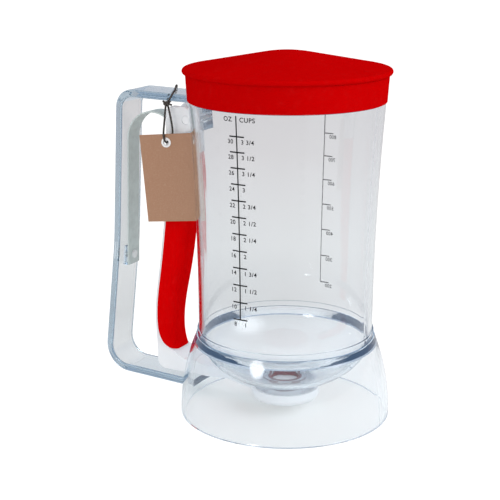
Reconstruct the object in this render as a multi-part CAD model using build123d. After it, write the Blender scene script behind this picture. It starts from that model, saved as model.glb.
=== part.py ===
from build123d import *
from math import atan2, degrees
import os

# A batter dispenser: a clear jug with a bowl-shaped bottom on a bell-shaped base,
# a clear strap handle, and a hinged lever that opens the outlet under the bowl.
# Millimetres. Z is the jug's axis, z = 0 is the table, the handle points to -X.

# ---- jug ----
JUG_FOOT_R = 47.5        # outer radius where the wall meets the bowl
JUG_FOOT_Z = 46.0
JUG_STEP_Z = 171.8       # the step that the lid comes down to
JUG_WALL = 2.0
WAIST_FLARE = 0.9        # how much wider than the foot the wall is half-way up
STEP_FLARE = 4.35        # and how much wider at the step
STEP_DEPTH = 1.15        # how much narrower the neck inside the lid is
NECK_HEIGHT = 14.2
NECK_WALL = 1.6
BEAD_PROUD = 0.7         # bead above the base's collar
BEAD_HEIGHT = 3.4
BEAD_RISE = 1.5          # how far the bead reaches up the wall
SPIGOT_HEIGHT = 5.0      # the base is bonded on this
BOWL_DEPTH = 29.5        # inside, from the foot of the wall
BOWL_WALL = 2.0

# ---- outlet ----
OUTLET_R = 8.0
SPOUT_DROP = 2.6         # below the inside of the bowl
SEAL_RING = 1.8          # width of the seal ring round the outlet
SPOUT_WALL = 2.8         # round the seal ring
SEAL_HEIGHT = 2.3
SEAL_PROUD = 0.3         # how far the seal stands below the spout

# ---- base ----
COLLAR_FLARE = 1.3       # how much wider than the jug's foot the collar is
SKIRT_MID_FLARE = 7.1
SKIRT_MID_Z = 26.0
SKIRT_RIM_FLARE = 10.1
SKIRT_WALL = 2.1
BOND_GAP = 0.02
WINDOW_TOP_Z = 22.5
WINDOW_CORNER = 2.0

# ---- handle; places are (distance out from the foot of the jug's wall, height) ----
STRAP_WIDTH = 22.0
STRAP_THICK = 4.2
STRAP_EDGE = 1.3
ARM_STEP_GAP = 0.1       # top of the upper arm below the jug's step
GRIP_TOP_OUT = 51.4      # middle of the strap
GRIP_BEND = (55.6, 85.0)
GRIP_FOOT = (64.1, 9.5)
LOWER_ARM_END = (6.7, 7.4)
ARM_RISE = 0.9           # how much higher the arm is at its outer corner
TOP_CORNER = 8.4
BEND_RADIUS = 260.0
FOOT_CORNER = 13.0
WINDOW_GAP = 0.35        # each side of the strap where it passes the window
WINDOW_SILL = 0.8        # below the strap

# ---- hinge ----
PIN_OUT = 9.5
PIN_BELOW_STEP = 13.8
PIN_R = 2.5
PIN_CLEARANCE = 0.05
PIN_INSET = 0.2
PIN_CHAMFER = 0.3
BOSS_WALL = 3.1
CHEEK_GAP = 0.4          # between the boss and each cheek of the lever

# ---- lever ----
LEVER_WIDTH = 18.0
LEVER_CHEEK = 2.7
LEVER_WEB = 2.2
LEVER_EDGE = 0.8
LEVER_LOW_Z = 26.0
# stations, as shares of the way from LEVER_LOW_Z up to the pin, with the distance
# out of the lever's outer side and of the grip's finger face at each
LEVER_SHARES = (0.94, 0.545, 0.333, 0.121, 0.0)
LEVER_OUTER = (22.5, 25.1, 28.8, 31.6, 30.7)
FINGER_FACE = (11.6, 11.5, 15.7, 20.6, 20.8)
HEAD_RISE = 7.1          # top of the lever above the pin
HEAD_INNER = 5.9
HEAD_CORNER = 5.0
LEVER_FOOT_Z = 12.4
FOOT_ROUND = 5.5
FOOT_OUT = 30.6
CHANNEL_FLOOR_Z = 17.0
TONGUE_OUT = (13.1, WINDOW_TOP_Z - 2.0)    # upper side of the arm outside the window
TONGUE_IN = (4.1, WINDOW_TOP_Z - 2.8)      # and inside it
KNEE_IN = 13.5           # inside the foot of the wall, where the arm turns level
KNEE_THICK = 4.6
TONGUE_WIDTH = 12.0      # where it reaches the cup
TONGUE_DROP = 0.8        # below the valve pad's face

# ---- grip on the lever ----
GRIP_SKIN = 2.4
GRIP_LIP = 2.1           # how much of the lever shows behind the grip
GRIP_OVERHANG = 0.9      # on each side of the lever
GRIP_INLAY = 1.4         # how far it is let into each side of the lever
GRIP_BELOW_PIN = 20.0
GRIP_CROWN = 6.0
GRIP_HEEL = (26.9, 30.2)
GRIP_TOE = (21.6, 25.6)
GRIP_STOP = (18.4, 24.6)
GRIP_STOP_ROOT = (20.2, 31.0)

# ---- cup and valve pad on the lever's arm ----
PAD_LAP = 1.2            # how far the pad reaches past the seal ring
PAD_THICK = 5.08
PAD_GAP = 0.3            # between pad and seal at rest
CUP_TROUGH = 7.8         # from the pad to the outside of the cup
CUP_WALL = 1.6
CUP_FLOOR = 1.6
CUP_EDGE = 3.6           # round the bottom
CUP_HEIGHT = 6.7

# ---- leaf spring ----
LEAF_SIDE_GAP = 0.8      # between the leaf and each cheek of the lever
LEAF_THICK = 0.8
LEAF_ARCH_OUT = 33.3     # centre of the arch
LEAF_ARCH_BELOW_PIN = 14.1
LEAF_ARCH_R = 16.3
LEAF_END = (51.7, 70.0)
LEAF_TAIL = 30.9         # length of the leaf inside the lever, below the arch
LEAF_TAIL_LEAN = 0.9
LEAF_HOLE_UP = 5.5       # above the leaf's lower end
LEAF_HOLE_R = 1.6
RIVET_HEAD_R = 2.4
RIVET_HEAD_HEIGHT = 0.9
RIVET_DEPTH = 3.5
LEAF_SEAT_DEPTH = 4.5
LEAF_SEAT_HEIGHT = 11.0

# ---- lid ----
LID_WALL = 1.3
LID_TOP_WALL = 1.6
LID_FIT_GAP = 0.4        # round the neck, at the foot of the lid's skirt
LID_STEP_GAP = 0.3       # above the jug's step
LID_TAPER = 0.9          # how much wider the skirt is at its top
LID_LIP = 2.9
LID_LIP_PROUD = 1.7
LID_RISE = 11.7          # where the cone's slope would meet the axis, above the lip
LID_TIP_R = 14.0         # inside this radius the cone is rounded off

# ---- hang tag ----
TAG_WIDTH = 30.4
TAG_HEIGHT = 48.6
TAG_THICK = 0.6
TAG_TILT = 5.0           # degrees, bottom edge towards the jug
TAG_OFF = 2.8            # how far the tag hangs in front of the strap
TAG_TURN = 12.0          # degrees, the edge by the jug turned back
EYELET_OUT = 18.9
EYELET_BELOW_KNOT = 21.1
EYELET_R = 2.7
EYELET_BARREL_R = 2.1
EYELET_BORE_R = 1.6
EYELET_THICK = 1.2
EYELET_FLANGE = 0.3
EYELET_TO_TOP = 4.6
STRING_R = 0.55
STRING_GAP = 0.3
LOOP_GAP = 0.8           # between the loop and the arm it goes round
KNOT_OUT = 18.3
KNOT_DROP = 0.6          # below the top arm
KNOT_R = 2.1
LOOP_BACK = 8.0          # how much further out the loop crosses the arm's back edge
STRAND_RISE = 4.2        # where the strands bend, above the eyelet
STRAND_TURN = 1.2        # radius of its fold through the eyelet
STRAND_BEND = 2.0

# ---- what follows from them ----
JUG_WAIST_R = JUG_FOOT_R + WAIST_FLARE
JUG_WAIST_Z = (JUG_FOOT_Z + JUG_STEP_Z) / 2
JUG_STEP_R = JUG_FOOT_R + STEP_FLARE
NECK_R = JUG_STEP_R - STEP_DEPTH
NECK_TOP_Z = JUG_STEP_Z + NECK_HEIGHT
BEAD_R = JUG_FOOT_R + BEAD_PROUD
BEAD_BOTTOM_Z = JUG_FOOT_Z + BEAD_RISE - BEAD_HEIGHT
SPIGOT_R = JUG_FOOT_R + 0.1
BOWL_BOTTOM_Z = JUG_FOOT_Z - BOWL_DEPTH
SPOUT_BOTTOM_Z = BOWL_BOTTOM_Z - SPOUT_DROP
SEAL_R = OUTLET_R + SEAL_RING
SEAL_BOTTOM_Z = SPOUT_BOTTOM_Z - SEAL_PROUD
SPOUT_R = SEAL_R + SPOUT_WALL
COLLAR_R = JUG_FOOT_R + COLLAR_FLARE
SKIRT_MID_R = JUG_FOOT_R + SKIRT_MID_FLARE
SKIRT_RIM_R = JUG_FOOT_R + SKIRT_RIM_FLARE
ARM_TOP_Z = JUG_STEP_Z - ARM_STEP_GAP
ARM_BOTTOM_Z = ARM_TOP_Z - STRAP_THICK
PIN_X = -JUG_FOOT_R - PIN_OUT
PIN_Z = JUG_STEP_Z - PIN_BELOW_STEP
BOSS_R = PIN_R + BOSS_WALL
BOSS_WIDTH = LEVER_WIDTH - 2 * (LEVER_CHEEK + CHEEK_GAP)
WINDOW_BOTTOM_Z = LOWER_ARM_END[1] - STRAP_THICK / 2 - WINDOW_SILL
KNEE_X = KNEE_IN - JUG_FOOT_R
GRIP_WIDTH = LEVER_WIDTH + 2 * GRIP_OVERHANG
GRIP_CORE_WIDTH = LEVER_WIDTH - 2 * GRIP_INLAY
HEAD_TOP_Z = PIN_Z + HEAD_RISE
PAD_TOP_Z = SEAL_BOTTOM_Z - PAD_GAP
PAD_BOTTOM_Z = PAD_TOP_Z - PAD_THICK
PAD_R = SEAL_R + PAD_LAP
CUP_R = PAD_R + CUP_TROUGH
CUP_BOTTOM_Z = PAD_BOTTOM_Z - BOND_GAP - CUP_FLOOR
LEAF_WIDTH = LEVER_WIDTH - 2 * (LEVER_CHEEK + LEAF_SIDE_GAP)
LEAF_ARCH_Z = PIN_Z - LEAF_ARCH_BELOW_PIN
LID_SKIRT_R = NECK_R + LID_FIT_GAP + LID_WALL
LID_SKIRT_BOTTOM_Z = JUG_STEP_Z + LID_STEP_GAP
LID_LIP_Z = NECK_TOP_Z + LID_LIP / 2
TAG_Y = -STRAP_WIDTH / 2 - TAG_OFF
KNOT = Vector(-JUG_FOOT_R - KNOT_OUT, TAG_Y, ARM_BOTTOM_Z - KNOT_DROP)
EYELET = Vector(-JUG_FOOT_R - EYELET_OUT, TAG_Y, KNOT.Z - EYELET_BELOW_KNOT)


def at(x, z):
    return Vector(x, 0, z)


def out(distance, z):
    """A point in the XZ plane, at a distance out from the foot of the jug's wall."""
    return Vector(-JUG_FOOT_R - distance, 0, z)


def solid_of(lines, half_width):
    """A slab with the closed outline of lines in the XZ plane, symmetric about Y = 0."""
    return extrude(make_face(lines), half_width, both=True)


def disc(radius, bottom, height):
    return Pos(0, 0, bottom) * extrude(Circle(radius), height)


def rod_along_x(radius, start, length):
    """A round bar along X, from start."""
    bar = Cylinder(radius, length, align=(Align.CENTER, Align.CENTER, Align.MIN))
    return Pos(start, 0, 0) * (Rot(0, 90, 0) * bar)


def rod_along_y(x, z, radius, length):
    """A round bar along Y, centred on Y = 0."""
    return Pos(x, 0, z) * (Rot(90, 0, 0) * Cylinder(radius, length))


def turned(arc, top_z, bottom_z):
    """The solid of revolution between an arc in the XZ plane and the Z axis."""
    outline = [arc, Polyline(arc @ 1, at(0, top_z), at(0, bottom_z), arc @ 0)]
    return revolve(make_face(outline), Axis.Z)


# ---- jug and base ----
def jug_wall(inset):
    """The flared shape of the wall, filled, from its foot to the step."""
    arc = ThreePointArc(
        at(JUG_FOOT_R - inset, JUG_FOOT_Z),
        at(JUG_WAIST_R - inset, JUG_WAIST_Z),
        at(JUG_STEP_R - inset, JUG_STEP_Z),
    )
    return turned(arc, JUG_STEP_Z, JUG_FOOT_Z)


def half_ellipsoid(radius, depth):
    """The lower half of an ellipsoid of revolution, hung from the foot of the wall."""
    quarter = make_face([
        EllipticalCenterArc((0, 0), radius, depth, start_angle=270, arc_size=90),
        Line((radius, 0), (0, 0)),
        Line((0, 0), (0, -depth)),
    ])
    return revolve(Pos(0, 0, JUG_FOOT_Z) * (Plane.XZ * quarter), Axis.Z)


def make_jug_body():
    body = jug_wall(0) + half_ellipsoid(JUG_FOOT_R, BOWL_DEPTH + BOWL_WALL)
    body += disc(NECK_R, JUG_STEP_Z, NECK_HEIGHT)
    body += disc(BEAD_R, BEAD_BOTTOM_Z, BEAD_HEIGHT)
    body += disc(SPIGOT_R, BEAD_BOTTOM_Z - SPIGOT_HEIGHT, SPIGOT_HEIGHT)
    body += disc(SPOUT_R, SPOUT_BOTTOM_Z, BOWL_BOTTOM_Z - SPOUT_BOTTOM_Z)
    body -= jug_wall(JUG_WALL)
    body -= half_ellipsoid(JUG_FOOT_R - JUG_WALL, BOWL_DEPTH)
    body -= disc(NECK_R - NECK_WALL, JUG_STEP_Z, NECK_TOP_Z)
    body -= disc(OUTLET_R, 0, JUG_FOOT_Z)
    body -= disc(SEAL_R, 0, SEAL_BOTTOM_Z + SEAL_HEIGHT)
    return body


def make_outlet_seal():
    return disc(SEAL_R, SEAL_BOTTOM_Z, SEAL_HEIGHT) - disc(OUTLET_R, SEAL_BOTTOM_Z, SEAL_HEIGHT)


def skirt_shape(inset):
    """The bell of the base, filled, from the table to the underside of the bead."""
    arc = ThreePointArc(
        at(SKIRT_RIM_R - inset, 0),
        at(SKIRT_MID_R - inset, SKIRT_MID_Z),
        at(COLLAR_R - inset, BEAD_BOTTOM_Z),
    )
    return turned(arc, BEAD_BOTTOM_Z, 0)


def make_base_skirt():
    collar_bottom = BEAD_BOTTOM_Z - SPIGOT_HEIGHT
    hollow = skirt_shape(SKIRT_WALL) - disc(SKIRT_RIM_R, collar_bottom, JUG_FOOT_Z)
    skirt = skirt_shape(0) - hollow - disc(SPIGOT_R + BOND_GAP, 0, JUG_FOOT_Z)
    window = Pos(-SKIRT_RIM_R, 0, (WINDOW_BOTTOM_Z + WINDOW_TOP_Z) / 2) * Box(
        SKIRT_RIM_R, STRAP_WIDTH + 2 * WINDOW_GAP, WINDOW_TOP_Z - WINDOW_BOTTOM_Z
    )
    return skirt - fillet(window.edges().filter_by(Axis.X), WINDOW_CORNER)


# ---- handle ----
def strap_path():
    arm_z = (ARM_TOP_Z + ARM_BOTTOM_Z) / 2
    return FilletPolyline(
        out(-1, arm_z),
        out(GRIP_TOP_OUT, arm_z + ARM_RISE),
        out(*GRIP_BEND),
        out(*GRIP_FOOT),
        out(*LOWER_ARM_END),
        radius=[TOP_CORNER, BEND_RADIUS, FOOT_CORNER],
    )


def leaf_seat_place():
    """The middle of the leaf at its hole, with local X square to the leaf."""
    end = out(*LEAF_END)
    run = out(LEAF_ARCH_OUT + LEAF_ARCH_R, LEAF_ARCH_Z) - end
    middle = end + run.normalized() * LEAF_HOLE_UP
    return Location(middle) * Rot(0, degrees(atan2(run.X, run.Z)), 0)


def make_handle_frame():
    path = strap_path()
    start = Plane(origin=path @ 0, x_dir=(0, 1, 0), z_dir=path % 0)
    frame = sweep(start * RectangleRounded(STRAP_WIDTH, STRAP_THICK, STRAP_EDGE), path=path)
    # boss for the hinge pin, between the lever's cheeks
    boss_bottom = PIN_Z - BOSS_R
    frame += Pos(PIN_X, 0, boss_bottom) * Box(
        -PIN_X, BOSS_WIDTH, ARM_BOTTOM_Z + STRAP_EDGE - boss_bottom,
        align=(Align.MIN, Align.CENTER, Align.MIN),
    )
    frame += rod_along_y(PIN_X, PIN_Z, BOSS_R, BOSS_WIDTH)
    frame -= rod_along_y(PIN_X, PIN_Z, PIN_R + PIN_CLEARANCE, STRAP_WIDTH)
    # seat of the leaf spring on the inside of the grip, with the rivet's hole
    seat = Box(
        LEAF_SEAT_DEPTH, LEAF_WIDTH, LEAF_SEAT_HEIGHT,
        align=(Align.MAX, Align.CENTER, Align.CENTER),
    )
    frame += leaf_seat_place() * (Pos(-LEAF_THICK / 2, 0, 0) * seat)
    frame -= leaf_seat_place() * rod_along_x(LEAF_HOLE_R, -RIVET_DEPTH, RIVET_DEPTH)
    return frame - jug_wall(0)


def make_spring_rivet():
    shank = rod_along_x(LEAF_HOLE_R, -RIVET_DEPTH, RIVET_DEPTH + LEAF_THICK)
    head = rod_along_x(RIVET_HEAD_R, LEAF_THICK / 2, RIVET_HEAD_HEIGHT)
    head = fillet(head.edges().sort_by(Axis.X)[-1], RIVET_HEAD_HEIGHT / 2)
    return leaf_seat_place() * (shank + head)


def make_leaf_spring():
    foot = out(LEAF_ARCH_OUT + LEAF_ARCH_R, LEAF_ARCH_Z)
    crown = out(LEAF_ARCH_OUT, LEAF_ARCH_Z + LEAF_ARCH_R)
    inner = out(LEAF_ARCH_OUT - LEAF_ARCH_R, LEAF_ARCH_Z)
    path = Wire([
        Line(out(*LEAF_END), foot),
        ThreePointArc(foot, crown, inner),
        Line(inner, inner - at(LEAF_TAIL_LEAN, LEAF_TAIL)),
    ])
    start = Plane(origin=path @ 0, x_dir=(0, 1, 0), z_dir=path % 0)
    leaf = sweep(start * Rectangle(LEAF_WIDTH, LEAF_THICK), path=path, transition=Transition.ROUND)
    return leaf - leaf_seat_place() * rod_along_x(LEAF_HOLE_R, -LEAF_THICK, 2 * LEAF_THICK)


# ---- lever ----
def station_points(distances, inset=0.0):
    """Points down the lever, each moved in towards the jug by inset."""
    heights = [LEVER_LOW_Z + share * (PIN_Z - LEVER_LOW_Z) for share in LEVER_SHARES]
    return [out(d - inset, z) for d, z in zip(distances, heights)]


def long_edges(slab, half_width, outer):
    """The two long curved edges of a slab, on its outer side or on its finger side."""
    rims = [e for e in slab.edges() if abs(abs(e.center().Y) - half_width) < BOND_GAP]
    curved = sorted(rims, key=lambda e: -e.length)[:4]
    curved.sort(key=lambda e: (e @ 0.5).X)
    return curved[:2] if outer else curved[2:]


def quarter_arc(start, corner, end):
    """The quarter circle that rounds a square corner."""
    centre = start + end - corner
    middle = centre + (corner - centre).normalized() * (start - centre).length
    return ThreePointArc(start, middle, end)


def lever_outline():
    """Side view of the lever with its head, its long limb and the arm under the jug."""
    down = (0, 0, -1)
    head_out = out(LEVER_OUTER[0], HEAD_TOP_Z)
    head_in = out(HEAD_INNER, HEAD_TOP_Z)
    foot = out(FOOT_OUT, LEVER_FOOT_Z)
    below_head = at(0, -HEAD_CORNER)
    inward = at(HEAD_CORNER, 0)
    top_end = head_out + below_head
    heel = foot + at(0, FOOT_ROUND)
    sole = foot + at(FOOT_ROUND, 0)
    outer = Spline([top_end, *station_points(LEVER_OUTER), heel], tangents=[down, down])
    inner = Spline(station_points(FINGER_FACE, -GRIP_SKIN))
    return [
        outer,
        quarter_arc(heel, foot, sole),
        Polyline(
            sole,
            at(KNEE_X, LEVER_FOOT_Z),
            at(-PAD_R, PAD_BOTTOM_Z),
            at(0, PAD_BOTTOM_Z),
            at(0, PAD_TOP_Z - TONGUE_DROP),
            at(-PAD_R, PAD_TOP_Z - TONGUE_DROP),
            at(KNEE_X, LEVER_FOOT_Z + KNEE_THICK),
            out(*TONGUE_IN),
            out(*TONGUE_OUT),
            inner @ 1,
        ),
        inner,
        Polyline(inner @ 0, out(HEAD_INNER, PIN_Z - BOSS_R), head_in + below_head),
        quarter_arc(head_in + below_head, head_in, head_in - inward),
        Line(head_in - inward, head_out + inward),
        quarter_arc(head_out + inward, head_out, top_end),
    ]


def lever_channel():
    """The hollow of the lever's channel, open to the outer side and at the head."""
    floor = Spline(station_points(FINGER_FACE, -GRIP_SKIN - LEVER_WEB))
    web_top_z = HEAD_TOP_Z - 3 * HEAD_CORNER
    far = -2 * JUG_FOOT_R - LEVER_OUTER[0]
    return [
        floor,
        Polyline(
            floor @ 1,
            at((floor @ 1).X, CHANNEL_FLOOR_Z),
            at(far, CHANNEL_FLOOR_Z),
            at(far, JUG_STEP_Z),
            at(0, JUG_STEP_Z),
            at(0, web_top_z),
            floor @ 0,
        ),
    ]


def grip_outline():
    """Side view of the soft grip: its lip side, its finger face and the finger stop."""
    top_z = PIN_Z - GRIP_BELOW_PIN
    back = station_points(LEVER_OUTER, GRIP_LIP)
    face = station_points(FINGER_FACE)
    top_back = at(back[0].X, top_z)
    top_face = at(face[0].X, top_z)
    return [
        Spline([top_back, *back[1:4], out(*GRIP_HEEL), out(*GRIP_TOE)]),
        Line(out(*GRIP_TOE), out(*GRIP_STOP)),
        Spline([out(*GRIP_STOP), out(*GRIP_STOP_ROOT), *face[3:0:-1], top_face]),
        Line(top_face, top_back),
    ]


def tongue_sides():
    """What the arm loses on each side to narrow from the window to the cup."""
    wide, narrow = LEVER_WIDTH / 2, TONGUE_WIDTH / 2
    strip = Polyline(
        (-SPIGOT_R, LEVER_WIDTH), (-SPIGOT_R, wide), (KNEE_X, narrow), (0, narrow), (0, LEVER_WIDTH),
        close=True,
    )
    side = extrude(make_face(strip), HEAD_TOP_Z)
    return side + mirror(side, Plane.XZ)


def make_trigger_lever():
    lever = solid_of(lever_outline(), LEVER_WIDTH / 2)
    lever = fillet(long_edges(lever, LEVER_WIDTH / 2, outer=True), LEVER_EDGE)
    lever -= solid_of(lever_channel(), LEVER_WIDTH / 2 - LEVER_CHEEK)
    lever -= tongue_sides()
    # the grip wraps round a narrower core
    lever -= solid_of(grip_outline(), LEVER_WIDTH) - solid_of(lever_outline(), GRIP_CORE_WIDTH / 2)
    lever += disc(PAD_R, PAD_BOTTOM_Z, PAD_TOP_Z - PAD_BOTTOM_Z)
    return lever - rod_along_y(PIN_X, PIN_Z, PIN_R, 2 * LEVER_WIDTH)


def make_trigger_grip():
    grip = solid_of(grip_outline(), GRIP_WIDTH / 2)
    grip = fillet(long_edges(grip, GRIP_WIDTH / 2, outer=False), GRIP_CROWN)
    grip -= solid_of(lever_outline(), GRIP_CORE_WIDTH / 2)
    return grip - solid_of(lever_channel(), LEVER_WIDTH / 2 - LEVER_CHEEK)


def make_hinge_pin():
    pin = rod_along_y(PIN_X, PIN_Z, PIN_R, LEVER_WIDTH - 2 * PIN_INSET)
    return chamfer(pin.edges().filter_by(GeomType.CIRCLE), PIN_CHAMFER)


def make_drip_cup():
    outside = disc(CUP_R, CUP_BOTTOM_Z, CUP_HEIGHT)
    inside = disc(CUP_R - CUP_WALL, CUP_BOTTOM_Z + CUP_FLOOR, CUP_HEIGHT)
    cup = fillet(outside.edges().sort_by(Axis.Z)[0], CUP_EDGE)
    cup -= fillet(inside.edges().sort_by(Axis.Z)[0], CUP_EDGE - CUP_WALL)
    return cup - Pos(-CUP_R, 0, CUP_BOTTOM_Z + CUP_FLOOR) * Box(
        2 * CUP_R, TONGUE_WIDTH + 2 * BOND_GAP, CUP_HEIGHT,
        align=(Align.CENTER, Align.CENTER, Align.MIN),
    )


# ---- lid ----
def make_lid():
    """A shallow cone with a rounded tip, a rolled lip and a slightly tapered skirt."""
    lip_r = LID_LIP / 2
    skirt_top_r = LID_SKIRT_R + LID_TAPER
    lip_x = skirt_top_r + LID_LIP_PROUD - lip_r
    slope = (LID_RISE - lip_r) / lip_x
    lip_top = at(lip_x, LID_LIP_Z + lip_r)
    lip_under = at(lip_x, LID_LIP_Z - lip_r)
    tip_edge = at(LID_TIP_R, LID_LIP_Z + LID_RISE - slope * LID_TIP_R)
    tip = at(0, tip_edge.Z + slope * LID_TIP_R / 2)
    tip_arc = ThreePointArc(at(-tip_edge.X, tip_edge.Z), tip, tip_edge).trim(0.5, 1)
    down = at(0, -LID_TOP_WALL)
    return revolve(
        make_face([
            tip_arc,
            Line(tip_edge, lip_top),
            ThreePointArc(lip_top, at(lip_x + lip_r, LID_LIP_Z), lip_under),
            Polyline(
                lip_under,
                at(skirt_top_r, lip_under.Z),
                at(LID_SKIRT_R, LID_SKIRT_BOTTOM_Z),
                at(LID_SKIRT_R - LID_WALL, LID_SKIRT_BOTTOM_Z),
                at(skirt_top_r - LID_WALL, lip_under.Z),
                tip_edge + down,
                tip + down,
                tip,
            ),
        ]),
        Axis.Z,
    )


# ---- hang tag ----
def tag_place():
    """The middle of the eyelet, with local Y square to the card."""
    return Location(EYELET) * Rot(0, 0, TAG_TURN)


def make_tag_card():
    card = extrude(Rectangle(TAG_WIDTH, TAG_HEIGHT), TAG_THICK / 2, both=True)
    card = Pos(0, EYELET_TO_TOP - TAG_HEIGHT / 2, 0) * card
    card -= Cylinder(EYELET_BARREL_R, EYELET_THICK)
    return tag_place() * Rot(0, -TAG_TILT, 0) * Rot(90, 0, 0) * card


def make_tag_eyelet():
    ring = Cylinder(EYELET_BARREL_R, EYELET_THICK)
    for side in (-1, 1):
        ring += Pos(0, 0, side * (EYELET_THICK - EYELET_FLANGE) / 2) * Cylinder(EYELET_R, EYELET_FLANGE)
    ring -= Cylinder(EYELET_BORE_R, EYELET_THICK)
    return tag_place() * Rot(90, 0, 0) * ring


def string_along(points, radii):
    path = FilletPolyline(*points, radius=radii)
    print("string", round(path.length, 1), "long, bends", [round(r, 2) for r in radii])
    start = Plane(origin=path @ 0, z_dir=path % 0)
    return sweep(start * Circle(STRING_R), path=path)


def knot_ball(radius):
    return Pos(KNOT) * Sphere(radius)


def make_tag_loop():
    """The string's turn round the upper arm, from the knot and back to it."""
    off = STRING_R + LOOP_GAP
    side = STRAP_WIDTH / 2 + off
    lift = ARM_RISE * (KNOT_OUT + LOOP_BACK) / GRIP_TOP_OUT
    top = ARM_TOP_Z + lift + off
    low = ARM_BOTTOM_Z - STRING_R - STRING_GAP
    points = [
        KNOT + Vector(0, STRING_R, 0),
        Vector(KNOT.X - 3 * STRING_R, -side, top),
        Vector(KNOT.X - LOOP_BACK, side, top),
        Vector(KNOT.X - LOOP_BACK, side, low),
        KNOT + Vector(STRING_R, STRING_R, 0),
    ]
    return string_along(points, [STRAP_EDGE + off] * 3) - knot_ball(KNOT_R)


def make_tag_strands():
    """The string from the knot through the eyelet and back to the knot."""
    off = EYELET_THICK / 2 + STRING_R + STRING_GAP
    points = [
        KNOT - Vector(STRING_R, STRING_R, 0),
        EYELET + Vector(-STRING_R / 2, -off, STRAND_RISE),
        EYELET + Vector(0, -off, 0.2),
        EYELET + Vector(0.2, off, -0.1),
        EYELET + Vector(4 * STRING_R, off, STRAND_RISE),
        KNOT + Vector(STRING_R, STRING_R, 0),
    ]
    radii = [STRAND_BEND, STRAND_TURN, STRAND_TURN, STRAND_BEND]
    return string_along(points, radii) - knot_ball(KNOT_R + STRING_GAP)


def make_tag_knot():
    return knot_ball(KNOT_R)


PARTS = {
    "jug_body": make_jug_body,
    "base_skirt": make_base_skirt,
    "handle_frame": make_handle_frame,
    "outlet_seal": make_outlet_seal,
    "spring_rivet": make_spring_rivet,
    "leaf_spring": make_leaf_spring,
    "trigger_lever": make_trigger_lever,
    "trigger_grip": make_trigger_grip,
    "hinge_pin": make_hinge_pin,
    "drip_cup": make_drip_cup,
    "lid": make_lid,
    "tag_card": make_tag_card,
    "tag_eyelet": make_tag_eyelet,
    "tag_loop": make_tag_loop,
    "tag_knot": make_tag_knot,
    "tag_strands": make_tag_strands,
}

os.makedirs("parts", exist_ok=True)
for name, make in PARTS.items():
    part = make()
    print(name, len(part.solids()), round(part.volume))
    export_step(part, f"parts/{name}.step")
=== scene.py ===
import math

import bpy
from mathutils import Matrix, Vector


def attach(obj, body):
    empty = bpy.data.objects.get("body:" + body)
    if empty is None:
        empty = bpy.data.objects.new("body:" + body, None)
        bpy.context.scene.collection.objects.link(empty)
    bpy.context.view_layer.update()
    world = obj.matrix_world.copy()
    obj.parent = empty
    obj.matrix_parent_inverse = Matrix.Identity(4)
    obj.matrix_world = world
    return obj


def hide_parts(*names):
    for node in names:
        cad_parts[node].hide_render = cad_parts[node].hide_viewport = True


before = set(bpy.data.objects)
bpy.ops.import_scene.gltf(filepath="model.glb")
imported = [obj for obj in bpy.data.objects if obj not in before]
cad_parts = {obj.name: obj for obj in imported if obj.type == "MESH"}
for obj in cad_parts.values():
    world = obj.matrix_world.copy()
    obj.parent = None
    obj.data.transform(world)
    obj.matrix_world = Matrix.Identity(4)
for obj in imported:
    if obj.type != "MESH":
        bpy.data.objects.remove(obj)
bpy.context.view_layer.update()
MM = 0.001


def points(*triples):
    """Points given in millimetres, as metres."""
    return [Vector(p) * MM for p in triples]


# ---------------------------------------------------------------- camera
CAMERA_TURN = math.radians(27.0)
CAMERA_DISTANCE = 658.7 * MM
CAMERA_HEIGHT = 268.6 * MM
CAMERA_PITCH = math.radians(15.135)
CAMERA_YAW = math.radians(1.687)
CAMERA_LENS = 90.92
SENSOR_WIDTH = 36.0
NEAREST, FARTHEST = 0.01, 50.0


def make_camera():
    data = bpy.data.cameras.new("camera")
    data.lens = CAMERA_LENS
    data.sensor_width = SENSOR_WIDTH
    data.clip_start, data.clip_end = NEAREST, FARTHEST
    camera = bpy.data.objects.new("camera", data)
    bpy.context.collection.objects.link(camera)
    turn = CAMERA_TURN + CAMERA_YAW
    ahead = Vector((
        -math.sin(turn) * math.cos(CAMERA_PITCH),
        math.cos(turn) * math.cos(CAMERA_PITCH),
        -math.sin(CAMERA_PITCH),
    ))
    camera.location = (
        CAMERA_DISTANCE * math.sin(CAMERA_TURN),
        -CAMERA_DISTANCE * math.cos(CAMERA_TURN),
        CAMERA_HEIGHT,
    )
    camera.rotation_euler = ahead.to_track_quat("-Z", "Y").to_euler()
    bpy.context.scene.camera = camera


make_camera()

# ---------------------------------------------------------------- tag's string
# In millimetres, except for the routes and the string's diameter, which are in metres.
STRING_R = 0.55
STRING_DIAMETER = 2 * STRING_R * MM
STRING_GAP = 0.3
LOOP_SLACK = 0.8            # room between the string and the arm's top and sides
ARM_HALF_WIDTH = 11.0
ARM_TOP_FACE, ARM_LOW_FACE = 172.16, 167.5
ARM_SIDE = ARM_HALF_WIDTH + STRING_R + LOOP_SLACK
ARM_TOP = ARM_TOP_FACE + STRING_R + LOOP_SLACK
ARM_LOW = ARM_LOW_FACE - STRING_R - STRING_GAP
KNOT_X, KNOT_Y, KNOT_Z = -65.8, -13.8, 166.9
LOOP_ROUTE = points(
    (KNOT_X, KNOT_Y + STRING_R, KNOT_Z),
    (KNOT_X + 3.2, -ARM_SIDE, ARM_TOP - 0.6),
    (KNOT_X + 1.0, -6.5, ARM_TOP),
    (KNOT_X - 7.6, 8.0, ARM_TOP),
    (KNOT_X - 9.4, ARM_SIDE, ARM_TOP),
    (KNOT_X - 11.2, ARM_SIDE, ARM_LOW),
    (KNOT_X - 8.4, 5.5, ARM_LOW),
    (KNOT_X + STRING_R, KNOT_Y + STRING_R, KNOT_Z),
)
EYELET_HALF_DEPTH = 0.6
EYELET_SIDE = EYELET_HALF_DEPTH + STRING_R + STRING_GAP
EYELET_X, EYELET_Z = -66.4, 145.8
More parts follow.
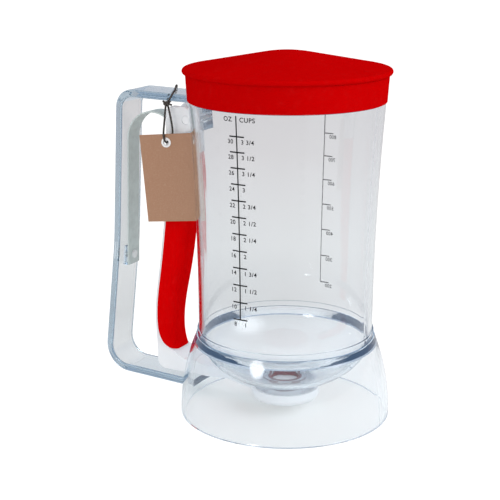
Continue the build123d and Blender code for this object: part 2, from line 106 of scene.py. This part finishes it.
STRANDS_ROUTE = points(
    (KNOT_X - 0.2, KNOT_Y - STRING_R, KNOT_Z),
    (KNOT_X - 0.9, KNOT_Y - 1.0, KNOT_Z - 9.0),
    (EYELET_X - 1.1, KNOT_Y - EYELET_SIDE, EYELET_Z + 4.2),
    (EYELET_X, KNOT_Y - EYELET_SIDE, EYELET_Z + 0.2),
    (EYELET_X + 0.2, KNOT_Y + EYELET_SIDE, EYELET_Z - 0.1),
    (EYELET_X + 3.6, KNOT_Y + EYELET_SIDE, EYELET_Z + 4.2),
    (KNOT_X + 2.2, KNOT_Y + 1.0, KNOT_Z - 9.0),
    (KNOT_X + 0.2, KNOT_Y + STRING_R, KNOT_Z),
)
KNOT_TURNS = (
    (3.0, 0.3, -0.5), (1.6, 0.2, -0.1), (-0.7, -1.0, 0.7), (-1.7, -0.2, -0.2), (-0.6, 0.9, -1.0),
    (1.0, -0.7, -0.8), (1.4, -0.6, 0.6), (0.0, 0.8, 1.1), (-1.4, 0.6, 0.5), (-2.6, 0.1, 1.3),
)
KNOT_ROUTE = points(*((KNOT_X + along, KNOT_Y + back, KNOT_Z + up) for along, back, up in KNOT_TURNS))
STEPS_PER_POINT = 10
ROUNDING_STEPS = 4


def make_string(name, route, node, body, material):
    """A round string along the smooth curve that the route's points control.

    It gets its material before it rides, because a curve that gets one later loses its bounds."""
    data = bpy.data.curves.new(name, "CURVE")
    data.dimensions = "3D"
    data.resolution_u = STEPS_PER_POINT
    data.bevel_depth = STRING_DIAMETER / 2
    data.bevel_resolution = ROUNDING_STEPS
    data.use_fill_caps = True
    data.materials.append(material)
    spline = data.splines.new("NURBS")
    spline.points.add(len(route) - 1)
    for control, place in zip(spline.points, route):
        control.co = (*place, 1.0)
    spline.order_u = 3
    spline.use_endpoint_u = True
    string = bpy.data.objects.new(name, data)
    bpy.context.collection.objects.link(string)
    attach(string, body)
    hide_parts(node)
    return string


# ---------------------------------------------------------------- finishes
class Value:
    """A socket in a finish. An operator on it adds the Math node that works it out."""

    def __init__(self, finish, socket):
        self.finish = finish
        self.socket = socket

    def also(self, output):
        """Another output of the same node."""
        return Value(self.finish, self.socket.node.outputs[output])

    def maths(self, operation, first, second):
        return self.finish.node("ShaderNodeMath", {0: first, 1: second}, operation=operation)

    def __add__(self, other):
        return self.maths("ADD", self, other)

    __radd__ = __add__

    def __mul__(self, other):
        return self.maths("MULTIPLY", self, other)

    __rmul__ = __mul__

    def __pow__(self, power):
        return self.maths("POWER", self, power)

    def __rpow__(self, base):
        return self.maths("POWER", base, self)

    def __gt__(self, other):
        return self.maths("GREATER_THAN", self, other)

    def __lt__(self, other):
        return self.maths("LESS_THAN", self, other)


class Finish:
    """A procedural material that is built up node by node."""

    def __init__(self, name, owner=None):
        self.owner = owner or bpy.data.materials.new(name)
        self.owner.use_nodes = True
        self.tree = self.owner.node_tree
        self.tree.nodes.clear()

    def node(self, kind, inputs=None, stops=None, **settings):
        """Adds a node, its settings first, then its inputs, and gives its first output."""
        made = self.tree.nodes.new(kind)
        for setting, value in settings.items():
            setattr(made, setting, value)
        if stops:
            ramp = made.color_ramp
            while len(ramp.elements) < len(stops):
                ramp.elements.new(0.5)
            for element, (place, colour) in zip(ramp.elements, stops):
                element.position, element.color = place, (*colour, 1.0)
        for key, value in (inputs or {}).items():
            if isinstance(value, Value):
                self.tree.links.new(value.socket, made.inputs[key])
            else:
                made.inputs[key].default_value = value
        return Value(self, made.outputs[0]) if len(made.outputs) else None

    def place(self, scale=(1.0, 1.0, 1.0)):
        """Object coordinates, scaled."""
        where = self.node("ShaderNodeTexCoord").also("Object")
        return self.node("ShaderNodeMapping", {"Vector": where, "Scale": scale})

    def noise(self, size, detail=2.0, stretch=(1.0, 1.0, 1.0), roughness=0.5):
        """Soft noise whose features are about size metres across."""
        return self.node(
            "ShaderNodeTexNoise",
            {"Vector": self.place(stretch), "Scale": 1.0 / size, "Detail": detail,
             "Roughness": roughness},
        )

    def mix(self, share, first, second):
        """Mixes two colours."""
        first, second = (c if isinstance(c, Value) else (*c, 1.0) for c in (first, second))
        return self.node("ShaderNodeMix", {0: share, 6: first, 7: second}, data_type="RGBA").also(2)

    def larger(self, first, second):
        return self.node("ShaderNodeMath", {0: first, 1: second}, operation="MAXIMUM")

    def bump(self, height, depth, strength=1.0):
        """A surface normal from a height between 0 and 1, depth metres deep."""
        return self.node("ShaderNodeBump", {"Height": height, "Distance": depth, "Strength": strength})

    def surface(self, shader, volume=None):
        inputs = {"Surface": shader}
        if volume:
            inputs["Volume"] = volume
        self.node("ShaderNodeOutputMaterial", inputs)
        return self.owner


def grey(level):
    return (level, level, level, 1.0)


def darker(colour, share):
    return tuple(c * share for c in colour)


PLASTIC_IOR = 1.49
PAINTED_GLOW_AFTER = 8.0         # bounces after which a clear wall shows a painted glow, standing in for light trapped in it
SHADOW_OF_CLEAR = 0.05      # what a clear face takes from the light that goes straight through
MOULD_RIPPLE, SMUDGE, SCUFF = 24 * MM, 7 * MM, 0.9 * MM


def let_light_through(finish, shader, painted_glow_colour):
    """Lets shadow and diffuse rays straight through, with only a faint shadow left.

    A ray that has bounced too often gets a painted blue glow, standing in for light trapped in the walls."""
    clear = finish.node("ShaderNodeBsdfTransparent", {"Color": grey(1.0 - SHADOW_OF_CLEAR)})
    # painted glow: an emission in the clear walls that stands in for light trapped in them
    painted_glow = finish.node("ShaderNodeEmission", {"Color": (*painted_glow_colour, 1.0), "Strength": 1.0})
    rays = finish.node("ShaderNodeLightPath")
    trapped = rays.also("Ray Depth") > PAINTED_GLOW_AFTER
    seen = finish.node("ShaderNodeMixShader", {0: trapped, 1: shader, 2: painted_glow})
    through = finish.larger(rays.also("Is Shadow Ray"), rays.also("Is Diffuse Ray"))
    return finish.node("ShaderNodeMixShader", {0: through, 1: seen, 2: clear})


def clear_plastic(name, absorb, painted_glow_colour, handled=0.0):
    """Clear moulded plastic that turns blue where light goes far through it, and shows a painted glow where
    rays have bounced too often.

    Its faces have the faint ripple of the mould and fine scuffs, more so where it is handled."""
    finish = Finish(name)
    density = max(absorb) * 1.5
    kept = tuple(1.0 - a / density for a in absorb)
    ripple = finish.noise(MOULD_RIPPLE, 1.0, stretch=(1.0, 1.0, 0.4))
    smudge = finish.noise(SMUDGE, 3.0) ** 3
    scuff = finish.noise(SCUFF, 3.0, stretch=(1.0, 1.0, 0.15)) ** 8
    tint = finish.mix(ripple * 0.5, (1.0, 1.0, 1.0), (0.975, 0.983, 0.99))
    glass = finish.node(
        "ShaderNodeBsdfPrincipled",
        {"Base Color": tint, "IOR": PLASTIC_IOR, "Transmission Weight": 1.0,
         "Roughness": 0.012 + 0.05 * smudge + (0.1 + handled) * scuff,
         "Normal": finish.bump(ripple, 0.12 * MM, 0.35)},
    )
    inside = finish.node("ShaderNodeVolumeAbsorption", {"Color": (*kept, 1.0), "Density": density})
    return finish.surface(let_light_through(finish, glass, painted_glow_colour), inside)


MILK_CLOUD, MILK_FLOW = 9 * MM, 3 * MM


def milky_plastic(name, through):
    """White plastic that lets a share of the light through."""
    finish = Finish(name)
    cloud = finish.noise(MILK_CLOUD)
    flow = finish.noise(MILK_FLOW, stretch=(1.0, 1.0, 0.2))
    shade = finish.mix(cloud * 0.5, (0.95, 0.965, 0.975), (0.91, 0.93, 0.945))
    paint = finish.node(
        "ShaderNodeBsdfPrincipled",
        {"Base Color": shade, "Roughness": 0.3 + 0.1 * flow, "Specular IOR Level": 0.3,
         "Normal": finish.bump(flow, 0.03 * MM, 0.5)},
    )
    glow = finish.node("ShaderNodeBsdfTranslucent", {"Color": (0.96, 0.98, 1.0, 1.0)})
    share = through + 0.1 * cloud
    return finish.surface(finish.node("ShaderNodeMixShader", {0: share, 1: paint, 2: glow}))


RED_DRIFT, RUB_SPOT = 38 * MM, 3.2 * MM


def red_plastic(name, colour, grain, depth, rubbed):
    """Matt red plastic with a fine grain, gone paler in spots by as much as it is rubbed."""
    finish = Finish(name)
    drift = finish.noise(RED_DRIFT)
    skin = finish.noise(grain, 3.0, roughness=0.6)
    rub = finish.noise(RUB_SPOT, 3.0) ** 6
    shade = finish.mix(drift * 0.7, colour, darker(colour, 0.84))
    shade = finish.mix(skin * 0.12, shade, darker(colour, 0.6))
    shade = finish.mix(rub * rubbed, shade, (colour[0] * 1.1, 0.05, 0.045))
    return finish.surface(finish.node(
        "ShaderNodeBsdfPrincipled",
        {"Base Color": shade, "Roughness": 0.5 + 0.12 * skin + 0.1 * rub, "Specular IOR Level": 0.0,
         "Normal": finish.bump(skin, depth, 0.6)},
    ))


DULL_SPOT = 3.2 * MM


def brushed_metal(name, colour, metallic, roughness, grain, along):
    """Metal with fine marks, drawn out along one axis where it is brushed, and duller spots."""
    finish = Finish(name)
    lines = finish.noise(grain, stretch=along)
    spots = finish.noise(DULL_SPOT, 4.0) ** 2
    shade = finish.mix(lines * 0.5, colour, darker(colour, 0.86))
    shade = finish.mix(spots, shade, darker(colour, 0.68))
    return finish.surface(finish.node(
        "ShaderNodeBsdfPrincipled",
        {"Base Color": shade, "Metallic": metallic, "Roughness": roughness + 0.25 * spots + 0.06 * lines,
         "Normal": finish.bump(lines, 0.01 * MM, 0.4)},
    ))


FIBRE, CARD_CLOUD, PALE_FLECK, DARK_FLECK = 0.5 * MM, 6 * MM, 0.7 * MM, 0.9 * MM


def kraft_card(name):
    """Brown card of pressed fibres, with pale and dark flecks."""
    finish = Finish(name)
    fibres = finish.noise(FIBRE, 4.0, stretch=(0.25, 1.0, 1.0), roughness=0.65)
    cloud = finish.noise(CARD_CLOUD, 3.0)
    pale = finish.noise(PALE_FLECK) ** 6
    dark = finish.noise(DARK_FLECK, stretch=(1.0, 1.0, 0.3)) ** 7
    shade = finish.mix(fibres * 0.5, (0.365, 0.205, 0.13), (0.32, 0.172, 0.106))
    shade = finish.mix(cloud * 0.25, shade, (0.41, 0.245, 0.16))
    shade = finish.mix(pale * 1.6, shade, (0.52, 0.37, 0.26))
    shade = finish.mix(dark * 1.2, shade, (0.22, 0.115, 0.07))
    return finish.surface(finish.node(
        "ShaderNodeBsdfPrincipled",
        {"Base Color": shade, "Roughness": 0.82 + 0.1 * fibres, "Specular IOR Level": 0.2,
         "Normal": finish.bump(fibres, 0.02 * MM, 0.5)},
    ))


TWIST_SCALE = 0.32 / MM
FLUFF = 0.2 * MM


def twisted_string(name):
    """Dark cotton string, ridged by its twist, with painted shade in the twist's grooves, and a little
    fluffy.
    """
    finish = Finish(name)
    slant = finish.node(
        "ShaderNodeTexWave",
        {"Vector": finish.place(), "Scale": TWIST_SCALE, "Distortion": 1.2, "Detail": 2.0},
        bands_direction="DIAGONAL",
    ).also("Fac")
    fluff = finish.noise(FLUFF, 3.0)
    # painted shade: the colour follows the twist's bump, darkest in its grooves and palest on its ridges
    shade = finish.mix(slant, (0.018, 0.016, 0.015), (0.075, 0.066, 0.058))
    shade = finish.mix(fluff * 0.4, shade, (0.11, 0.10, 0.09))
    return finish.surface(finish.node(
        "ShaderNodeBsdfPrincipled",
        {"Base Color": shade, "Roughness": 0.8 + 0.15 * fluff, "Specular IOR Level": 0.2,
         "Normal": finish.bump(slant, 0.12 * MM, 0.8)},
    ))


INK_WEAR = 1.2 * MM


def printing_ink(name, colour):
    """Matt ink, worn a little paler in places."""
    finish = Finish(name)
    worn = finish.noise(INK_WEAR, 3.0)
    shade = finish.mix(worn * 0.35, colour, tuple(c + 0.03 for c in colour))
    return finish.surface(finish.node(
        "ShaderNodeBsdfPrincipled",
        {"Base Color": shade, "Roughness": 0.5 + 0.2 * worn, "Specular IOR Level": 0.1},
    ))


def dress(node, material):
    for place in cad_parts[node].material_slots:
        place.material = material


ALL_WAYS = (1.0, 1.0, 1.0)
UPRIGHT = (1.0, 1.0, 0.06)
ACROSS = (1.0, 0.1, 1.0)

# The last colour given to each clear plastic is its painted glow, which stands in for light trapped in its
# walls.
wall_plastic = clear_plastic("clear_wall", absorb=(26.0, 16.0, 8.0), painted_glow_colour=(0.085, 0.128, 0.195))
dress("jug_body", wall_plastic)
dress("base_skirt", wall_plastic)
dress("handle_frame", clear_plastic(
    "clear_handle", absorb=(28.0, 19.5, 13.5), painted_glow_colour=(0.28, 0.34, 0.405), handled=0.3))
dress("lid", red_plastic("red_lid", (0.455, 0.0003, 0.0008), 0.35 * MM, 0.004 * MM, rubbed=0.3))
dress("trigger_grip", red_plastic("red_grip", (0.62, 0.0003, 0.001), 0.6 * MM, 0.02 * MM, rubbed=0.5))
dress("outlet_seal", red_plastic("red_seal", (0.17, 0.006, 0.014), 0.4 * MM, 0.01 * MM, rubbed=0.0))
dress("trigger_lever", milky_plastic("milky_lever", through=0.3))
dress("drip_cup", milky_plastic("milky_cup", through=0.04))
dress("leaf_spring", brushed_metal("leaf_steel", (0.57, 0.645, 0.635), 0.15, 0.42, 0.35 * MM, UPRIGHT))
dress("spring_rivet", brushed_metal("rivet_steel", (0.78, 0.82, 0.83), 0.3, 0.3, 0.4 * MM, ALL_WAYS))
dress("hinge_pin", brushed_metal("pin_steel", (0.86, 0.88, 0.90), 0.1, 0.3, 0.3 * MM, ACROSS))
dress("tag_card", kraft_card("kraft_card"))
dress("tag_eyelet", brushed_metal("eyelet_metal", (0.88, 0.88, 0.88), 0.35, 0.25, 0.3 * MM, ALL_WAYS))
cotton = twisted_string("string")
loop = make_string("string_loop", LOOP_ROUTE, "tag_loop", "jug", cotton)
strands = make_string("string_strands", STRANDS_ROUTE, "tag_strands", "tag", cotton)
knot = make_string("string_knot", KNOT_ROUTE, "tag_knot", "jug", cotton)


# ---------------------------------------------------------------- printed scales
# Places and sizes are in millimetres, as seen from the side that a scale faces.
PRINT_LIFT = 0.06           # off the jug's wall
OUT_OF_WALL = 56.0          # from the jug's axis to where the flat marks are made
LETTER_BOLDNESS = 0.06
LETTER_SPACING = 1.1        # times the font's own

OUNCE_MARKS = range(8, 32, 2)
OUNCE_HEIGHTS = (64.33, 9.3, 0.0174, 2.47)      # lowest mark, step, shrink and its power
QUARTERS = ("", " 1/4", " 1/2", " 3/4")
CUP_SCALE_TURN = math.radians(-1.8)
CUP_LINE_MIDDLE, CUP_LINE_HEIGHT = 117.4, 106.2
CUP_LINE_THICK, CUP_MARK_WIDTH = 0.72, 8.4
CUP_NUMBER_SIZE, CUP_NUMBER_DROP = 3.1, 2.7
OUNCE_X, CUPS_X = -2.1, 2.4
HEADING_Z, HEADING_SIZE = 168.6, 3.3
HEADING_OUNCE_X, HEADING_CUPS_X = -2.4, 1.9

MILLILITRE_MARKS = range(200, 900, 100)
MILLILITRE_HEIGHTS = (60.7, 15.9, 0.178, 2.2)
MILLILITRE_SCALE_TURN = math.radians(181.2)
MILLILITRE_LINE_TOP, MILLILITRE_LINE_THICK = 170.4, 0.55
MILLILITRE_MARK_WIDTH, MILLILITRE_MARK_THICK = 5.8, 0.6
MILLILITRE_NUMBER_SIZE, MILLILITRE_NUMBER_DROP, MILLILITRE_NUMBER_X = 2.9, 2.0, -3.2


def mark_height(heights, steps):
    """How high a mark is. The steps shrink upwards, because the jug gets wider."""
    lowest, step, shrink, power = heights
    return lowest + step * steps - shrink * steps ** power


def deselect():
    if bpy.context.object and bpy.context.object.mode != "OBJECT":
        bpy.ops.object.mode_set(mode="OBJECT")
    bpy.ops.object.select_all(action="DESELECT")


def printed_bar(x, z, width, height):
    """A flat bar that faces the front, cut every millimetre or so to follow the wall."""
    deselect()
    bpy.ops.mesh.primitive_grid_add(
        x_subdivisions=max(2, round(width)), y_subdivisions=max(2, round(height)), size=1.0,
        location=(x * MM, -OUT_OF_WALL * MM, z * MM), rotation=(math.pi / 2, 0, 0),
    )
    bar = bpy.context.object
    bar.scale = (width * MM, height * MM, 1.0)
    return bar


def printed_words(words, x, z, size, align):
    """Flat letters that face the front, as a mesh."""
    deselect()
    bpy.ops.object.text_add()
    letters = bpy.context.object
    letters.data.body = words
    letters.data.size = size * MM
    letters.data.align_x = align
    letters.data.align_y = "CENTER"
    letters.data.offset = LETTER_BOLDNESS * MM
    letters.data.space_character = LETTER_SPACING
    bpy.ops.object.convert(target="MESH")
    letters = bpy.context.object
    letters.location = (x * MM, -OUT_OF_WALL * MM, z * MM)
    letters.rotation_euler = (math.pi / 2, 0, 0)
    return letters


def print_on_wall(name, marks, turn, ink):
    """Joins flat marks, turns them to their side of the jug and lays them on its wall."""
    deselect()
    for mark in marks:
        mark.select_set(True)
    bpy.context.view_layer.objects.active = marks[0]
    bpy.ops.object.join()
    scale = bpy.context.object
    scale.name = name
    bpy.ops.object.transform_apply(location=True, rotation=True, scale=True)
    scale.rotation_euler = (0, 0, turn)
    bpy.ops.object.transform_apply(location=True, rotation=True, scale=True)
    faces_front = math.cos(turn) > 0
    wrap = scale.modifiers.new("wrap", "SHRINKWRAP")
    wrap.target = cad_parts["jug_body"]
    wrap.wrap_method = "PROJECT"
    wrap.use_project_y = True
    wrap.use_positive_direction = faces_front
    wrap.use_negative_direction = not faces_front
    wrap.wrap_mode = "ABOVE_SURFACE"
    wrap.offset = PRINT_LIFT * MM
    bpy.ops.object.modifier_apply(modifier="wrap")
    scale.data.materials.clear()
    scale.data.materials.append(ink)
    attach(scale, "jug")


def make_cup_scale():
    marks = [printed_bar(0, CUP_LINE_MIDDLE, CUP_LINE_THICK, CUP_LINE_HEIGHT)]
    for steps, ounces in enumerate(OUNCE_MARKS):
        z = mark_height(OUNCE_HEIGHTS, steps)
        cups, quarters = divmod(ounces // 2, len(QUARTERS))
        number_z = z - CUP_NUMBER_DROP
        marks.append(printed_bar(0, z, CUP_MARK_WIDTH, CUP_LINE_THICK))
        marks.append(printed_words(str(ounces), OUNCE_X, number_z, CUP_NUMBER_SIZE, "RIGHT"))
        marks.append(printed_words(
            f"{cups}{QUARTERS[quarters]}", CUPS_X, number_z, CUP_NUMBER_SIZE, "LEFT"))
    marks.append(printed_words("OZ", HEADING_OUNCE_X, HEADING_Z, HEADING_SIZE, "RIGHT"))
    marks.append(printed_words("CUPS", HEADING_CUPS_X, HEADING_Z, HEADING_SIZE, "LEFT"))
    ink = printing_ink("black_ink", (0.003, 0.003, 0.004))
    print_on_wall("cup_scale", marks, CUP_SCALE_TURN, ink)


def make_millilitre_scale():
    low, high = MILLILITRE_HEIGHTS[0], MILLILITRE_LINE_TOP
    marks = [printed_bar(0, (low + high) / 2, MILLILITRE_LINE_THICK, high - low)]
    for steps, millilitres in enumerate(MILLILITRE_MARKS):
        z = mark_height(MILLILITRE_HEIGHTS, steps)
        number_z = z - MILLILITRE_NUMBER_DROP
        marks.append(printed_bar(-MILLILITRE_MARK_WIDTH / 2, z, MILLILITRE_MARK_WIDTH, MILLILITRE_MARK_THICK))
        marks.append(printed_words(
            str(millilitres), MILLILITRE_NUMBER_X, number_z, MILLILITRE_NUMBER_SIZE, "RIGHT"))
    ink = printing_ink("grey_ink", (0.02, 0.022, 0.025))
    print_on_wall("millilitre_scale", marks, MILLILITRE_SCALE_TURN, ink)


make_cup_scale()
make_millilitre_scale()

# ---------------------------------------------------------------- studio
FLOOR_SIZE = 12.0
FLOOR_DROP = 0.3 * MM
FLOOR_PAINT = 0.8
FLOOR_GLOW = 0.90           # most of the floor's white as the camera sees it
FLOOR_LIT = 0.25            # the grey on top of the glow, which takes the object's shadow
LIGHTER_SIDE_TURN = math.radians(27.0)      # to the right of the main view, and fixed in the room
LIGHTER_SIDE_FULL = 0.06    # this far that way, the floor has the lighter side's colours alone
ROOM_LIGHT = 1.26
CORE_STRENGTH = 2.5         # makes up for the light that a softbox loses at its soft edge
LAMPS_AIM_AT = Vector((0, 0, 0.1))
CLEAR_BOUNCES = 24
DIFFUSE_BOUNCES = 12


def ray_kinds(finish):
    """Whether the camera sees the surface itself, and whether it shows in gloss or plastic."""
    rays = finish.node("ShaderNodeLightPath")
    return rays.also("Is Camera Ray"), finish.larger(
        rays.also("Is Glossy Ray"), rays.also("Is Transmission Ray"))


def make_floor():
    """White to the camera, pale to the light, and darker where it shows in gloss or plastic."""
    deselect()
    bpy.ops.mesh.primitive_plane_add(size=FLOOR_SIZE, location=(0, 0, -FLOOR_DROP))
    floor = bpy.context.object
    floor.name = "floor"
    finish = Finish("floor")
    camera, indirect = ray_kinds(finish)
    paint = finish.node("ShaderNodeBsdfDiffuse", {"Color": grey(FLOOR_PAINT)})
    lit = finish.node("ShaderNodeBsdfDiffuse", {"Color": grey(FLOOR_LIT)})
    glow = finish.node("ShaderNodeEmission", {"Color": grey(1.0), "Strength": FLOOR_GLOW})
    white = finish.node("ShaderNodeAddShader", {0: glow, 1: lit})
    spot = finish.place()
    away = finish.node("ShaderNodeVectorMath", {0: spot}, operation="LENGTH").also("Value")
    along_x = finish.node("ShaderNodeSeparateXYZ", {0: spot})
    sideways = math.cos(LIGHTER_SIDE_TURN) * along_x + math.sin(LIGHTER_SIDE_TURN) * along_x.also("Y")
    lighter_share = finish.node(
        "ShaderNodeMapRange", {0: sideways, 1: 0.0, 2: LIGHTER_SIDE_FULL, 3: 0.0, 4: 1.0})
    darker_side = finish.node(
        "ShaderNodeValToRGB", {0: away},
        stops=[(0.06, (0.13, 0.125, 0.10)), (0.13, (0.13, 0.115, 0.10)), (0.35, (0.255, 0.235, 0.215)),
               (0.75, (0.235, 0.185, 0.17))],
    )
    lighter_side = finish.node(
        "ShaderNodeValToRGB", {0: away},
        stops=[(0.06, (0.14, 0.135, 0.115)), (0.13, (0.27, 0.25, 0.235)), (0.35, (0.30, 0.28, 0.26)),
               (0.75, (0.25, 0.205, 0.19))],
    )
    takes = finish.node(
        "ShaderNodeValToRGB", {0: away}, stops=[(0.06, (0.85, 0.86, 0.87)), (0.20, (0.50, 0.51, 0.52))],
    )
    sweep = finish.mix(lighter_share, darker_side, lighter_side)
    far = finish.node("ShaderNodeEmission", {"Color": sweep, "Strength": 1.0})
    shaded = finish.node("ShaderNodeBsdfDiffuse", {"Color": takes})
    backdrop = finish.node("ShaderNodeAddShader", {0: far, 1: shaded})
    seen = finish.node("ShaderNodeMixShader", {0: camera, 1: paint, 2: white})
    floor.data.materials.append(
        finish.surface(finish.node("ShaderNodeMixShader", {0: indirect, 1: seen, 2: backdrop})))


def make_world():
    """White to the camera, soft light on the object, and bands of a room in gloss and plastic."""
    world = bpy.data.worlds.new("studio")
    bpy.context.scene.world = world
    finish = Finish("studio", world)
    camera, indirect = ray_kinds(finish)
    heading = finish.node("ShaderNodeTexCoord").also("Generated")
    up = finish.node("ShaderNodeSeparateXYZ", {0: heading}).also("Z")
    room = finish.node(
        "ShaderNodeValToRGB", {0: up},
        stops=[(0.0, (0.62, 0.66, 0.70)), (0.25, (0.42, 0.50, 0.62)), (0.6, (0.75, 0.78, 0.82)),
               (0.9, (0.95, 0.95, 0.95))],
    )
    sides = finish.node(
        "ShaderNodeValToRGB", {0: up}, stops=[(0.0, (1.0, 1.0, 1.0)), (1.0, (0.55, 0.55, 0.55))])
    light = finish.node("ShaderNodeBackground", {"Color": sides, "Strength": ROOM_LIGHT})
    walls = finish.node("ShaderNodeBackground", {"Color": room, "Strength": 1.0})
    white = finish.node("ShaderNodeBackground", {"Color": grey(1.0), "Strength": 1.0})
    both = finish.node("ShaderNodeMixShader", {0: indirect, 1: light, 2: walls})
    seen = finish.node("ShaderNodeMixShader", {0: camera, 1: both, 2: white})
    finish.node("ShaderNodeOutputWorld", {"Surface": seen})


def make_softbox(name, azimuth, elevation, distance, size, power, core):
    """A lamp whose light fades from its core, a share of its size, to its edge."""
    a, e = math.radians(azimuth), math.radians(elevation)
    back = Vector((math.sin(a) * math.cos(e), -math.cos(a) * math.cos(e), math.sin(e)))
    data = bpy.data.lights.new(name, "AREA")
    data.shape = "RECTANGLE"
    data.size, data.size_y = size
    data.energy = power
    finish = Finish(name, data)
    across = finish.node("ShaderNodeNewGeometry").also("Parametric")
    from_middle = finish.node(
        "ShaderNodeVectorMath", {0: across, 1: (0.5, 0.5, 0.0)}, operation="DISTANCE").also("Value")
    fade = finish.node(
        "ShaderNodeValToRGB", {0: from_middle * 2.0}, stops=[(core, (1, 1, 1)), (1.0, (0, 0, 0))])
    glow = finish.node("ShaderNodeEmission", {"Color": fade, "Strength": CORE_STRENGTH})
    finish.node("ShaderNodeOutputLight", {"Surface": glow})
    lamp = bpy.data.objects.new(name, data)
    bpy.context.collection.objects.link(lamp)
    lamp.location = LAMPS_AIM_AT + back * distance
    lamp.rotation_euler = (-back).to_track_quat("-Z", "Y").to_euler()


make_floor()
make_world()
make_softbox("window", azimuth=92, elevation=32, distance=1.2, size=(1.3, 1.2), power=8, core=0.3)
make_softbox("ceiling", azimuth=200, elevation=76, distance=1.3, size=(1.0, 1.0), power=1.0, core=0.25)
make_softbox("front_lamp", azimuth=-7, elevation=15, distance=1.2, size=(0.42, 0.27), power=1.5, core=0.65)

scene = bpy.context.scene
scene.view_settings.view_transform = "Standard"
scene.cycles.max_bounces = CLEAR_BOUNCES
scene.cycles.diffuse_bounces = DIFFUSE_BOUNCES
scene.cycles.transmission_bounces = CLEAR_BOUNCES
scene.cycles.glossy_bounces = CLEAR_BOUNCES
scene.cycles.transparent_max_bounces = CLEAR_BOUNCES
